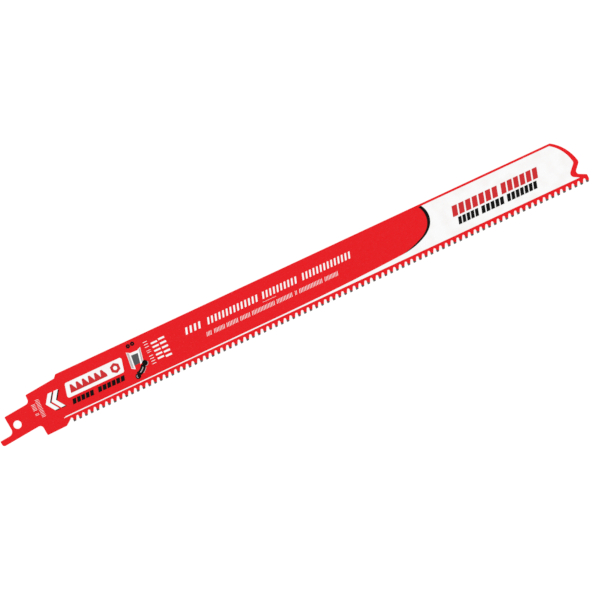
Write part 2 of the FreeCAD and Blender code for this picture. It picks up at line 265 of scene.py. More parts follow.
@dataclass(frozen=True)
class GroundCarbide:
    """Sintered tungsten carbide, ground on its faces: dull warm grey with fine grinding lines.

    The binder between the grains takes off part of the metal's gleam.
    """

    name: str = "ground_carbide"
    colour: str = "#8A807D"
    dark_colour: str = "#5E5754"
    line_mm: float = 0.06
    line_length_mm: float = 1.2
    line_depth_mm: float = 0.004
    metallic: float = 0.6
    smoothest: float = 0.3
    roughest: float = 0.48

    def material(self) -> bpy.types.Material:
        """Build the carbide: long thin noise gives the lines, and each tip has its own tone.

        Returns:
            The finished material.
        """
        material, tree = new_material(self.name)
        place = add_node(tree, "ShaderNodeTexCoord").outputs["Object"]
        # Noise cells as long as the wheel's scratch and as wide as its grit
        stretch = add_node(tree, "ShaderNodeMapping", {
            "Vector": place, "Scale": (per_size(self.line_length_mm), per_size(self.line_mm),
                                       per_size(self.line_mm))})
        lines = add_node(tree, "ShaderNodeTexNoise", {
            "Vector": stretch.outputs[0], "Scale": 1.0, "Detail": 2.0})
        tone = add_node(tree, "ShaderNodeAttribute", attribute_name="tone")
        share = add_node(tree, "ShaderNodeMath", {
            0: lines.outputs["Fac"], 1: tone.outputs["Fac"]}, operation="MULTIPLY")
        tint = add_node(tree, "ShaderNodeMix", {
            "Factor": share.outputs[0], "A": linear(self.colour), "B": linear(self.dark_colour)},
            data_type="RGBA")
        gloss = add_node(tree, "ShaderNodeMapRange", {
            "Value": lines.outputs["Fac"], "To Min": self.smoothest, "To Max": self.roughest})
        bump = add_node(tree, "ShaderNodeBump", {
            "Height": lines.outputs["Fac"], "Distance": self.line_depth_mm * MM})
        shader = add_node(tree, "ShaderNodeBsdfPrincipled", {
            "Base Color": tint.outputs["Result"], "Roughness": gloss.outputs[0],
            "Metallic": self.metallic, "Normal": bump.outputs[0]})
        add_node(tree, "ShaderNodeOutputMaterial", {"Surface": shader.outputs[0]})
        return material


@dataclass(frozen=True)
class WeldBead:
    """Resistance-weld flash: bare steel that the heat has turned straw-brown and dull purple."""

    name: str = "heat_tinted_weld"
    straw: str = "#B07A5C"
    purple: str = "#6A5D66"
    ripple_mm: float = 0.18
    ripple_depth_mm: float = 0.02
    straw_until: float = 0.35
    purple_from: float = 0.65
    roughness: float = 0.4

    def material(self) -> bpy.types.Material:
        """Build the weld: one noise gives the ripples and parts straw from purple.

        Returns:
            The finished material.
        """
        material, tree = new_material(self.name)
        place = add_node(tree, "ShaderNodeTexCoord").outputs["Object"]
        ripples = add_node(tree, "ShaderNodeTexNoise", {
            "Vector": place, "Scale": per_size(self.ripple_mm), "Detail": 2.0})
        parted = add_node(tree, "ShaderNodeMapRange", {
            "Value": ripples.outputs["Fac"], "From Min": self.straw_until,
            "From Max": self.purple_from})
        tint = add_node(tree, "ShaderNodeMix", {
            "Factor": parted.outputs[0], "A": linear(self.straw), "B": linear(self.purple)},
            data_type="RGBA")
        bump = add_node(tree, "ShaderNodeBump", {
            "Height": ripples.outputs["Fac"], "Distance": self.ripple_depth_mm * MM})
        shader = add_node(tree, "ShaderNodeBsdfPrincipled", {
            "Base Color": tint.outputs["Result"], "Metallic": 1.0,
            "Roughness": self.roughness, "Normal": bump.outputs[0]})
        add_node(tree, "ShaderNodeOutputMaterial", {"Surface": shader.outputs[0]})
        return material


@dataclass(frozen=True)
class LitAcrylic:
    """Opal acrylic of a light table: it glows white, so shadows on it stay faint."""

    name: str = "lit_opal_acrylic"
    colour: str = "#838383"
    shade: str = "#7E7E7E"
    glow_colour: str = "#FFFFFF"
    glow: float = 0.84
    cloud_mm: float = 60.0
    roughness: float = 0.9
    ior: float = 1.3

    def material(self) -> bpy.types.Material:
        """Build the acrylic: a matt glowing white with a hardly visible cloudiness.

        Returns:
            The finished material.
        """
        material, tree = new_material(self.name)
        place = add_node(tree, "ShaderNodeTexCoord").outputs["Object"]
        cloud = add_node(tree, "ShaderNodeTexNoise", {
            "Vector": place, "Scale": per_size(self.cloud_mm)})
        tint = add_node(tree, "ShaderNodeMix", {
            "Factor": cloud.outputs["Fac"], "A": linear(self.colour), "B": linear(self.shade)},
            data_type="RGBA")
        shader = add_node(tree, "ShaderNodeBsdfPrincipled", {
            "Base Color": tint.outputs["Result"], "Roughness": self.roughness,
            "IOR": self.ior, "Emission Color": linear(self.glow_colour),
            "Emission Strength": self.glow})
        add_node(tree, "ShaderNodeOutputMaterial", {"Surface": shader.outputs[0]})
        material.cycles.emission_sampling = "NONE"
        return material


def new_object(name: str, content: bpy.types.ID) -> bpy.types.Object:
    """Return a new object that holds a mesh, lamp or camera, linked to the scene."""
    item = bpy.data.objects.new(name, content)
    bpy.context.scene.collection.objects.link(item)
    return item


def kept_mesh(name: str, shape: bmesh.types.BMesh) -> bpy.types.Mesh:
    """Keep a shape as a mesh and free it.

    Args:
        name: The mesh's name.
        shape: The shape, which is used up.

    Returns:
        The new mesh.
    """
    mesh = bpy.data.meshes.new(name)
    shape.to_mesh(mesh)
    shape.free()
    return mesh


def put_in_order(shape: bmesh.types.BMesh) -> None:
    """Sort a shape's parts, since a round primitive makes them in another order each run.

    Args:
        shape: The shape. Its vertices go by place, its edges and faces by their vertices.
    """
    def corners(part: bmesh.types.BMEdge | bmesh.types.BMFace) -> list[int]:
        return sorted(vertex.index for vertex in part.verts)

    for parts, place in ((shape.verts, lambda vertex: vertex.co[:]),
                         (shape.edges, corners), (shape.faces, corners)):
        ranks = {part: rank for rank, part in enumerate(sorted(parts, key=place))}
        parts.sort(key=ranks.get)
        parts.index_update()


def new_tree(name: str, sockets: dict[str, str]) -> tuple[bpy.types.NodeTree, bpy.types.Node]:
    """Make a Geometry Nodes tree with named inputs and one geometry output.

    Args:
        name: The tree's name.
        sockets: Socket type of each input, by name.

    Returns:
        The tree and its group input node.
    """
    tree = bpy.data.node_groups.new(name, "GeometryNodeTree")
    for socket, kind in sockets.items():
        tree.interface.new_socket(name=socket, in_out="INPUT", socket_type=kind)
    tree.interface.new_socket(name="Geometry", in_out="OUTPUT",
                              socket_type="NodeSocketGeometry")
    return tree, add_node(tree, "NodeGroupInput")


def grown_mesh(tree: bpy.types.NodeTree, values: dict[str, Any]) -> bpy.types.Mesh:
    """Run a Geometry Nodes tree and keep its result as a plain mesh.

    Args:
        tree: The tree to run.
        values: Value of each named input.

    Returns:
        The mesh that the tree makes.
    """
    carrier = new_object(tree.name, bpy.data.meshes.new(tree.name))
    modifier = carrier.modifiers.new("growth", "NODES")
    modifier.node_group = tree
    for item in tree.interface.items_tree:
        if item.in_out == "INPUT":
            modifier[item.identifier] = values[item.name]
    evaluated = carrier.evaluated_get(bpy.context.evaluated_depsgraph_get())
    mesh = bpy.data.meshes.new_from_object(evaluated)
    carrier.modifiers.remove(modifier)
    bpy.data.objects.remove(carrier)
    return mesh


def prism(outline: Sequence[Point], low: float, high: float) -> bpy.types.Mesh:
    """Stand a closed plate on an outline.

    Args:
        outline: Corners in millimetres, anticlockwise.
        low: Height of the underside in millimetres.
        high: Height of the top in millimetres.

    Returns:
        A closed mesh with its faces outwards.
    """
    plate = bmesh.new()
    bottom = [plate.verts.new((x * MM, y * MM, low * MM)) for x, y in outline]
    top = [plate.verts.new((x * MM, y * MM, high * MM)) for x, y in outline]
    plate.faces.new(top)
    plate.faces.new(bottom[::-1])
    for index, corner in enumerate(bottom):
        following = (index + 1) % len(bottom)
        plate.faces.new((corner, bottom[following], top[following], top[index]))
    return kept_mesh("plate", plate)


def ring_prism(outer: Sequence[Point], inner: Sequence[Point], low: float,
               high: float) -> bpy.types.Mesh:
    """Stand a closed ring between two outlines that have as many corners.

    Args:
        outer: Outer corners in millimetres, anticlockwise.
        inner: Inner corners in millimetres, anticlockwise.
        low: Height of the underside in millimetres.
        high: Height of the top in millimetres.

    Returns:
        A closed mesh with its faces outwards.
    """
    ring = bmesh.new()
    loops = [[ring.verts.new((x * MM, y * MM, z * MM)) for x, y in outline]
             for outline, z in ((outer, low), (outer, high), (inner, high), (inner, low))]
    for loop, following in zip(loops, loops[1:] + loops[:1]):
        for index in range(len(loop)):
            nxt = (index + 1) % len(loop)
            ring.faces.new((loop[index], loop[nxt], following[nxt], following[index]))
    return kept_mesh("ring", ring)


def around(centre: Point, radius: float, degrees: float) -> Point:
    """Return the point at a radius and an angle from a centre."""
    angle = math.radians(degrees)
    return centre[0] + radius * math.cos(angle), centre[1] + radius * math.sin(angle)


def polygon(centre: Point, radius: float, corners: int, turn: float = 0.0) -> list[Point]:
    """Return the corners of a regular polygon, anticlockwise; turn is in degrees."""
    return [around(centre, radius, turn + 360 * index / corners) for index in range(corners)]


def joined(name: str, meshes: Iterable[bpy.types.Mesh],
           material: bpy.types.Material) -> bpy.types.Object:
    """Join meshes into one object with one material.

    Args:
        name: The piece's name.
        meshes: Closed meshes in the row frame.
        material: The finish of the piece.

    Returns:
        The new object, linked to the scene.
    """
    whole = bmesh.new()
    for part in meshes:
        whole.from_mesh(part)
    mesh = kept_mesh(name, whole)
    mesh.materials.clear()
    mesh.materials.append(material)
    for face in mesh.polygons:
        face.material_index = 0
    return new_object(name, mesh)


def loose_parts(shape: bmesh.types.BMesh) -> list[list[Vector]]:
    """Part a mesh into the groups of corners that its edges join.

    Args:
        shape: A mesh with its doubles merged.

    Returns:
        The corners of each group.
    """
    parts: list[list[Vector]] = []
    seen: set[int] = set()
    for start in shape.verts:
        if start.index in seen:
            continue
        seen.add(start.index)
        part, queue = [], [start]
        while queue:
            vertex = queue.pop()
            part.append(vertex.co.copy())
            for edge in vertex.link_edges:
                other = edge.other_vert(vertex)
                if other.index not in seen:
                    seen.add(other.index)
                    queue.append(other)
        parts.append(part)
    return parts


def settle(piece: bpy.types.Object, slot: Slot, *nodes: str) -> None:
    """Fasten a finished piece to the blade and report it.

    Args:
        piece: The finished piece, at the origin.
        slot: The record's material slot, named in the log line.
        *nodes: CAD nodes that it stands for.
    """
    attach(piece, BODY)
    if nodes:
        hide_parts(*nodes)
    log.info("%s: %d faces, slot %s", piece.name, len(piece.data.polygons), slot.value)


@dataclass
class Strip:
    """The painted steel strip: tang, locking hole, neck, heel, teeth and nose.

    The last three sizes before the finish are upright shares of a face's normal: of a level
    face that is shaded flat, and of the level and the side face that meet at a rim.
    """

    edge_round: float = 0.08
    edge_steps: int = 3
    flat_angle: float = 0.5
    crease_angle: float = 32.0
    shaded_flat: float = 0.999
    rim_level: float = 0.9
    rim_side: float = 0.1
    finish: Enamel = field(default_factory=Enamel)

    def build(self) -> None:
        """Copy the strip, soften its edges as paint does, and enamel it."""
        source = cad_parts["blade_body"]
        shape = bmesh.new()
        shape.from_mesh(source.data)
        bmesh.ops.remove_doubles(shape, verts=shape.verts, dist=SAME_SPOT)
        bmesh.ops.dissolve_limit(shape, angle_limit=math.radians(self.flat_angle),
                                 verts=shape.verts, edges=shape.edges)
        shape.normal_update()
        rims = [edge for edge in shape.edges if self.is_rim(edge)]
        bmesh.ops.bevel(shape, geom=rims, offset=self.edge_round * MM,
                        segments=self.edge_steps, profile=0.5, affect="EDGES",
                        clamp_overlap=True)
        mesh = kept_mesh("enamelled_strip", shape)
        mesh.set_sharp_from_angle(angle=math.radians(self.crease_angle))
        for face in mesh.polygons:
            face.use_smooth = abs(face.normal.z) < self.shaded_flat
        piece = joined("enamelled_strip", [mesh], self.finish.material())
        settle(piece, Slot.ENAMEL, "blade_body")

    def is_rim(self, edge: bmesh.types.BMEdge) -> bool:
        """Say whether an edge parts a level face of the strip from its side.

        Args:
            edge: An edge of the strip.

        Returns:
            Whether paint rounds it.
        """
        if len(edge.link_faces) != 2:
            return False
        side, level = sorted(abs(face.normal.z) for face in edge.link_faces)
        return side < self.rim_side and level > self.rim_level


@dataclass
class TipRow:
    """The carbide tips, one on each tooth, with the weld beads at each seat.

    A bead is half an egg on each face of the strip, a share of the seat long.
    """

    edge_round: float = 0.035
    edge_steps: int = 2
    flat_angle: float = 1.0
    bead_share: float = 0.98
    bead_width: float = 0.32
    bead_height: float = 0.12
    bead_sides: int = 12
    bead_rings: int = 6
    tone_seed: int = 7
    finish: GroundCarbide = field(default_factory=GroundCarbide)
    weld: WeldBead = field(default_factory=WeldBead)

    def build(self) -> None:
        """Read one tip and the pitch from the frame, then repeat the tip and its beads."""
        first, count, pitch = self.first_tip()
        tree = self.row_tree()
        seat_front = max(first, key=lambda corner: corner.y)
        seat_back = max(first, key=lambda corner: corner.x)
        tip = self.tip_object(first)
        bead = self.bead_object(seat_front, seat_back)
        for name, pattern, material, nodes in (
                ("carbide_teeth", tip, self.finish.material(), ["carbide_tips"]),
                ("weld_beads", bead, self.weld.material(), [])):
            mesh = grown_mesh(tree, {"Pattern": pattern, "Count": count, "Pitch": pitch,
                                     "Seed": self.tone_seed, "Finish": material})
            piece = new_object(name, mesh)
            bpy.data.objects.remove(pattern)
            settle(piece, Slot.CARBIDE, *nodes)

    def first_tip(self) -> tuple[list[Vector], int, float]:
        """Find the first tip in the frame.

        Returns:
            Its corners in metres, the number of tips and their pitch in metres.
        """
        shape = bmesh.new()
        shape.from_mesh(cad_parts["carbide_tips"].data)
        bmesh.ops.remove_doubles(shape, verts=shape.verts, dist=SAME_SPOT)
        tips = sorted(loose_parts(shape), key=lambda tip: min(corner.x for corner in tip))
        shape.free()
        starts = [min(corner.x for corner in tip) for tip in tips]
        return tips[0], len(tips), (starts[-1] - starts[0]) / (len(starts) - 1)

    def tip_object(self, corners: list[Vector]) -> bpy.types.Object:
        """Make one tip with softened edges.

        Args:
            corners: The tip's corners in metres.

        Returns:
            An object to repeat.
        """
        shape = bmesh.new()
        for corner in corners:
            shape.verts.new(corner)
        bmesh.ops.convex_hull(shape, input=shape.verts)
        bmesh.ops.dissolve_limit(shape, angle_limit=math.radians(self.flat_angle),
                                 verts=shape.verts, edges=shape.edges)
        bmesh.ops.bevel(shape, geom=shape.edges[:], offset=self.edge_round * MM,
                        segments=self.edge_steps, profile=0.5, affect="EDGES",
                        clamp_overlap=True)
        bmesh.ops.recalc_face_normals(shape, faces=shape.faces)
        return new_object("tip", kept_mesh("tip", shape))

    def bead_object(self, front: Vector, back: Vector) -> bpy.types.Object:
        """Make the two weld beads of one seat, one on each face of the strip.

        Args:
            front: Seat corner at the rake face, in metres.
            back: Seat corner at the flank, in metres.

        Returns:
            An object to repeat.
        """
        low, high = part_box("blade_body")
        run = Vector((back.x - front.x, back.y - front.y, 0))
        middle = Vector(((front.x + back.x) / 2, (front.y + back.y) / 2, 0))
        turn = Matrix.Rotation(math.atan2(run.y, run.x), 4, "Z")
        size = Matrix.Diagonal((run.length / 2 * self.bead_share, self.bead_width * MM / 2,
                                self.bead_height * MM, 1))
        shape = bmesh.new()
        for level in (low.z, high.z):
            place = Matrix.Translation(middle + Vector((0, 0, level)))
            bmesh.ops.create_uvsphere(shape, u_segments=self.bead_sides,
                                      v_segments=self.bead_rings, radius=1.0,
                                      matrix=place @ turn @ size)
        for face in shape.faces:
            face.smooth = True
        put_in_order(shape)
        return new_object("bead", kept_mesh("bead", shape))

    def row_tree(self) -> bpy.types.NodeTree:
        """Build the tree that repeats a pattern along the blade with a tone for each copy.

        Returns:
            The tree, with named inputs for the pattern, count, pitch, seed and finish.
        """
        tree, given = new_tree("tooth_row", {
            "Pattern": "NodeSocketObject", "Count": "NodeSocketInt", "Pitch": "NodeSocketFloat",
            "Seed": "NodeSocketInt", "Finish": "NodeSocketMaterial"})
        step = add_node(tree, "ShaderNodeCombineXYZ", {"X": given.outputs["Pitch"]})
        line = add_node(tree, "GeometryNodeMeshLine", {
            "Count": given.outputs["Count"], "Offset": step.outputs[0]},
            mode="OFFSET", count_mode="TOTAL")
        pattern = add_node(tree, "GeometryNodeObjectInfo", {
            "Object": given.outputs["Pattern"]}, transform_space="ORIGINAL")
        copies = add_node(tree, "GeometryNodeInstanceOnPoints", {
            "Points": line.outputs["Mesh"], "Instance": pattern.outputs["Geometry"]})
        tone = add_node(tree, "FunctionNodeRandomValue", {"Seed": given.outputs["Seed"]},
                        data_type="FLOAT")
        toned = add_node(tree, "GeometryNodeStoreNamedAttribute", {
            "Geometry": copies.outputs[0], "Name": "tone", "Value": tone.outputs[1]},
            data_type="FLOAT", domain="INSTANCE")
        solid = add_node(tree, "GeometryNodeRealizeInstances", {
            "Geometry": toned.outputs[0]})
        dressed = add_node(tree, "GeometryNodeSetMaterial", {
            "Geometry": solid.outputs[0], "Material": given.outputs["Finish"]})
        add_node(tree, "NodeGroupOutput", {"Geometry": dressed.outputs[0]})
        return tree


@dataclass(frozen=True)
class Group:
    """One group of strokes in a printed line: where it starts, how long it is, how many."""

    start: float
    length: float
    strokes: int


@dataclass(frozen=True)
class MarkLine:
    """A printed line of plain leaning strokes, in groups.

    base is the line's lower edge, fill is a stroke's share of the pitch, lean is in degrees,
    corner is the radius at a stroke's corners, and layer 1 lies on another field of ink.
    """

    name: str
    base: float
    height: float
    groups: tuple[Group, ...]
    fill: float
    lean: float = 16.0
    corner: float = 0.12
    reading: Reading = Reading.ALONG
    layer: int = 0


@dataclass(frozen=True)
class Nut:
    """A hexagon nut seen from above; radius and hole are measured to the corners."""

    middle: Point
    radius: float
    hole: float
    corners: int = 6
    turn: float = 30.0


@dataclass(frozen=True)
class Band:
    """A bent band of ink: its bend's centre and radii, and its first and last angle in degrees."""

    bend: Point
    inner: float
    outer: float
    start: float
    end: float
    steps: int
    layer: int = 0

    def outline(self) -> list[Point]:
        """Return the band's corners, anticlockwise, steps pieces to a side."""
        angles = [self.start + (self.end - self.start) * index / self.steps
                  for index in range(self.steps + 1)]
        return ([around(self.bend, self.outer, angle) for angle in angles]
                + [around(self.bend, self.inner, angle) for angle in reversed(angles)])


@dataclass(frozen=True)
class Chevrons:
    """A pair of chevrons that point to the tang, each with a shadow."""

    left: float = 17.1
    middle: float = 3.1
    width: float = 9.0
    depth: float = 3.1
    thick: float = 2.3
    gap: float = 1.0
    count: int = 2
    shadow: float = 0.45

    def outlines(self, shift: float = 0.0) -> list[list[Point]]:
        """List the chevrons' outlines.

        Args:
            shift: How far they are moved, to the right and down alike.

        Returns:
            The corners of each chevron, anticlockwise.
        """
        foot, top = self.middle - self.width / 2, self.middle + self.width / 2
        outlines = []
        for index in range(self.count):
            tip = self.left + index * (self.thick + self.gap)
            wing = tip + self.depth
            corners = [(tip, self.middle), (wing, foot), (wing + self.thick, foot),
                       (tip + self.thick, self.middle), (wing + self.thick, top), (wing, top)]
            outlines.append([(x + shift, y - shift) for x, y in corners])
        return outlines


@dataclass(frozen=True)
class ToothSign:
    """A leaning row of saw teeth on a straight spine, each with a flat land at its crown."""

    start: float = 31.0
    base: float = 2.95
    pitch: float = 3.35
    height: float = 4.15
    teeth: int = 6
    spine: float = 1.1
    land: float = 0.9
    cleft: float = 0.1
    lean: float = 13.0

    def outline(self) -> list[Point]:
        """Return the row's corners, anticlockwise.

        Returns:
            The spine's two lower corners, then each tooth from the last to the first.
        """
        edge = [(self.start, self.base), (self.start + self.teeth * self.pitch, self.base)]
        for index in reversed(range(self.teeth)):
            left = self.start + index * self.pitch
            edge += [(left + self.pitch - self.cleft, self.base + self.spine),
                     (left + self.land, self.base + self.height),
                     (left, self.base + self.height), (left, self.base + self.spine)]
        slope = math.tan(math.radians(self.lean))
        return [(x + (y - self.base) * slope, y) for x, y in edge]


@dataclass(frozen=True)
class BeamSign:
    """An H-beam that leads away from the eye; each side runs from its far to its near end."""

    outer_left: tuple[Point, Point] = ((64.3, 9.7), (63.5, 1.2))
    inner_left: tuple[Point, Point] = ((65.98, 7.3), (65.3, 0.1))
    inner_right: tuple[Point, Point] = ((69.64, 7.1), (68.5, 1.3))
    outer_right: tuple[Point, Point] = ((71.9, 9.3), (70.5, 2.3))
    far_edge: tuple[Point, Point] = ((69.9, 8.4), (66.1, 8.6))
    near_edge: tuple[Point, Point] = ((65.47, 1.9), (68.66, 2.1))
    shades: tuple[tuple[Point, ...], ...] = (
        ((63.7, 1.5), (64.7, 0.9), (65.4, 8.7), (64.5, 9.2)),
        ((69.5, 2.2), (70.3, 2.6), (71.6, 8.8), (70.8, 8.4)))

    def flanges(self) -> list[Point]:
        """Return the corners of both flanges, which meet at the far edge, anticlockwise."""
        return [*self.outer_left, *reversed(self.inner_left), *self.inner_right,
                *reversed(self.outer_right), *self.far_edge]

    def web(self) -> list[Point]:
        """Return the corners of the web between the flanges, anticlockwise."""
        return [*self.near_edge, self.inner_right[0], self.inner_left[0]]


@dataclass(frozen=True)
class PipeSign:
    """A bent pipe with a round end above and below, and the gleams on them."""

    bend: Point = (64.6, 2.9)
    inner: float = 4.4
    outer: float = 6.9
    start: float = -84.0
    end: float = -24.0
    steps: int = 16
    upper: Point = (70.75, 1.1)
    lower: Point = (65.0, -3.6)
    end_radius: float = 1.45
    end_corners: int = 24

    def body(self) -> Band:
        """Return the pipe's body."""
        return Band(self.bend, self.inner, self.outer, self.start, self.end, self.steps)

    def ends(self) -> list[list[Point]]:
        """Return the corners of the two round ends."""
        return [polygon(end, self.end_radius, self.end_corners)
                for end in (self.upper, self.lower)]

    def gleams(self) -> list[Band]:
        """Return the gleams: along the middle, beside the pipe and on each end."""
        return [Band(self.bend, 5.35, 5.8, -68, -36, 10, layer=1),
                Band(self.bend, 6.95, 7.2, -60, -34, 8),
                Band(self.upper, 1.5, 1.75, -100, 10, 12, layer=1),
                Band(self.lower, 0.55, 0.85, 110, 250, 8, layer=2)]


@dataclass
class Print:
    """Everything printed on the upper face: the solids' own fields and the marks on them."""

    ink: float = INK
    face: float = FACE
    stroke_round_steps: int = 3
    label_nut: Nut = Nut((56.2, 5.0), 2.7, 1.15)
    stock_nuts: tuple[Nut, ...] = (Nut((66.55, 12.15), 1.2, 0.25), Nut((69.0, 12.4), 1.2, 0.25))
    inks: dict[Ink, ScreenInk] = field(default_factory=lambda: {
        Ink.WHITE: ScreenInk("white_screen_ink", "#E5E5E5", "#E1DDDC"),
        Ink.BLACK: ScreenInk("black_screen_ink", "#0A0909", "#151212", roughness=0.36),
        Ink.RED: ScreenInk("red_screen_ink", "#C40B14", "#BC0B14", roughness=0.4),
        Ink.GREY: ScreenInk("grey_screen_ink", "#4D4D50", "#59595C"),
        Ink.SILVER: ScreenInk("silver_screen_ink", "#A9A2A3", "#B8B0B0"),
    })
    materials: dict[Ink, bpy.types.Material] = field(default_factory=dict)
    tree: bpy.types.NodeTree | None = None

    def build(self) -> None:
        """Ink the solids' fields, then print the lines and the motifs."""
        self.materials = {ink: recipe.material() for ink, recipe in self.inks.items()}
        for node, ink in (("white_print", Ink.WHITE), ("black_print", Ink.BLACK)):
            field_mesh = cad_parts[node].data
            field_mesh.materials.clear()
            field_mesh.materials.append(self.materials[ink])
            log.info("%s: printed in %s", node, self.inks[ink].name)
        self.tree = self.stroke_tree()
        for ink, line in self.lines():
            self.print_line(ink, line)
        self.chevrons()
        self.label_motif()
        self.stock_motif()

    def lines(self) -> list[tuple[Ink, MarkLine]]:
        """List the printed lines with their inks.

        Returns:
            Each line with the ink that it is printed in.
        """
        return [
            (Ink.WHITE, MarkLine("tang_code_upper", 10.2, 2.0, (
                Group(-0.2, 1.2, 2), Group(2.3, 3.7, 5)),
                lean=0, fill=0.25, corner=0.05, reading=Reading.UPWARDS)),
            (Ink.WHITE, MarkLine("tang_code_lower", 12.9, 2.0, (Group(-2.2, 9.7, 13),),
                                 lean=0, fill=0.24, corner=0.05, reading=Reading.UPWARDS)),
            (Ink.BLACK, MarkLine("plate_caption", -2.68, 2.65, (
                Group(29.7, 12.0, 5), Group(43.7, 15.0, 6)), fill=0.8)),
            (Ink.WHITE, MarkLine("range_column", 74.0, 2.1, (
                Group(-1.78, 5.5, 4), Group(4.52, 1.9, 2), Group(7.22, 4.0, 3)),
                lean=0, fill=0.2, corner=0.05, reading=Reading.UPWARDS)),
            (Ink.WHITE, MarkLine("stock_column_first", 77.5, 3.4, (Group(-0.78, 10.3, 5),),
                                 lean=0, fill=0.41, reading=Reading.UPWARDS)),
            (Ink.WHITE, MarkLine("stock_column_second", 81.7, 3.3, (Group(-1.48, 11.5, 5),),
                                 lean=0, fill=0.41, reading=Reading.UPWARDS)),
            (Ink.WHITE, MarkLine("main_line", 5.02, 3.4, (
                Group(95.2, 9.4, 4), Group(107.4, 28.5, 14), Group(137.6, 19.8, 10),
                Group(159.6, 27.3, 14)), lean=18, fill=0.46)),
            (Ink.WHITE, MarkLine("main_line_rule", 3.5, 0.12, (Group(136.9, 7.3, 1),),
                                 lean=0, fill=1.0, corner=0.05)),
            (Ink.WHITE, MarkLine("small_line", -0.18, 2.1, (
                Group(104.6, 3.0, 4), Group(108.7, 6.2, 8), Group(115.6, 6.6, 8),
                Group(123.1, 5.7, 7), Group(129.6, 12.8, 16), Group(143.2, 8.9, 11),
                Group(153.3, 1.3, 2), Group(155.6, 13.0, 16), Group(169.6, 7.6, 10)),
                fill=0.34, corner=0.05)),
            (Ink.RED, MarkLine("nose_line_upper", 1.82, 5.3, (
                Group(241.4, 25.6, 7), Group(268.3, 20.7, 6)), fill=0.77, layer=1)),
            (Ink.BLACK, MarkLine("nose_line_lower", -2.78, 3.7, (
                Group(242.5, 11.5, 5), Group(255.2, 12.8, 5), Group(269.3, 16.9, 7)),
                fill=0.78, layer=1)),
        ]

    def stroke_tree(self) -> bpy.types.NodeTree:
        """Build the tree that lays a row of leaning, round-cornered plates of ink.

        Returns:
            The tree, with named inputs for the row, the plate and its finish.
        """
        tree, given = new_tree("stroke_row", {
            "Count": "NodeSocketInt", "Pitch": "NodeSocketFloat", "Width": "NodeSocketFloat",
            "Height": "NodeSocketFloat", "Lean": "NodeSocketFloat",
            "Corner": "NodeSocketFloat", "Thickness": "NodeSocketFloat",
            "Finish": "NodeSocketMaterial"})
        outline = add_node(tree, "GeometryNodeCurvePrimitiveQuadrilateral", {
            "Width": given.outputs["Width"], "Height": given.outputs["Height"],
            "Offset": given.outputs["Lean"]}, mode="PARALLELOGRAM")
        rounded = add_node(tree, "GeometryNodeFilletCurve", {
            "Curve": outline.outputs[0], "Radius": given.outputs["Corner"],
            "Count": self.stroke_round_steps, "Limit Radius": True}, mode="POLY")
        face = add_node(tree, "GeometryNodeFillCurve", {"Curve": rounded.outputs[0]},
                        mode="NGONS")
        rise = add_node(tree, "ShaderNodeCombineXYZ", {"Z": given.outputs["Thickness"]})
        raised = add_node(tree, "GeometryNodeExtrudeMesh", {
            "Mesh": face.outputs[0], "Offset": rise.outputs[0], "Offset Scale": 1.0,
            "Individual": False}, mode="FACES")
        under = add_node(tree, "GeometryNodeFlipFaces", {"Mesh": face.outputs[0]})
        both = add_node(tree, "GeometryNodeJoinGeometry")
        tree.links.new(raised.outputs[0], both.inputs[0])
        tree.links.new(under.outputs[0], both.inputs[0])
        plate = add_node(tree, "GeometryNodeMergeByDistance", {
            "Geometry": both.outputs[0], "Distance": SAME_SPOT})
        step = add_node(tree, "ShaderNodeCombineXYZ", {"X": given.outputs["Pitch"]})
        line = add_node(tree, "GeometryNodeMeshLine", {
            "Count": given.outputs["Count"], "Offset": step.outputs[0]},
            mode="OFFSET", count_mode="TOTAL")
        copies = add_node(tree, "GeometryNodeInstanceOnPoints", {
            "Points": line.outputs["Mesh"], "Instance": plate.outputs[0]})
        solid = add_node(tree, "GeometryNodeRealizeInstances", {
            "Geometry": copies.outputs[0]})
        dressed = add_node(tree, "GeometryNodeSetMaterial", {
            "Geometry": solid.outputs[0], "Material": given.outputs["Finish"]})
        add_node(tree, "NodeGroupOutput", {"Geometry": dressed.outputs[0]})
        return tree

    def print_line(self, ink: Ink, line: MarkLine) -> None:
        """Print one line of strokes.

        Args:
            ink: Which ink it is printed in.
            line: The line's sizes and place.
        """
        level = (self.face + line.layer * self.ink) * MM
        lean = line.height * math.tan(math.radians(line.lean))
        meshes = []
        for group in line.groups:
            pitch = group.length / group.strokes
            mesh = grown_mesh(self.tree, {
                "Count": group.strokes, "Pitch": pitch * MM, "Width": pitch * line.fill * MM,
                "Height": line.height * MM, "Lean": lean * MM, "Corner": line.corner * MM,
                "Thickness": self.ink * MM, "Finish": self.materials[ink]})
            across = (line.base + line.height / 2) * MM
            along = (group.start + pitch / 2) * MM
            spot = (along, across) if line.reading is Reading.ALONG else (across, along)
            turn = Matrix.Rotation(math.radians(line.reading.value), 4, "Z")
            mesh.transform(Matrix.Translation((*spot, level)) @ turn)
            meshes.append(mesh)
        self.add_motif(line.name, ink, meshes)

    def add_motif(self, name: str, ink: Ink, meshes: Iterable[bpy.types.Mesh]) -> None:
        """Print one motif from its plates of ink."""
        settle(joined(name, meshes, self.materials[ink]), ink.slot)

    def plate(self, outline: Sequence[Point], layer: int = 0) -> bpy.types.Mesh:
        """Return a plate of ink on an outline; layer 0 lies on the enamel."""
        low = self.face + layer * self.ink
        return prism(outline, low, low + self.ink)

    def nut(self, nut: Nut, layer: int = 0) -> bpy.types.Mesh:
        """Return a nut in ink.

        Args:
            nut: The nut's sizes and place.
            layer: Layer that it lies on; 0 is the enamel.

        Returns:
            A closed ring.
        """
        low = self.face + layer * self.ink
        rim = polygon(nut.middle, nut.radius, nut.corners, nut.turn)
        hole = polygon(nut.middle, nut.hole, nut.corners, nut.turn)
        return ring_prism(rim, hole, low, low + self.ink)

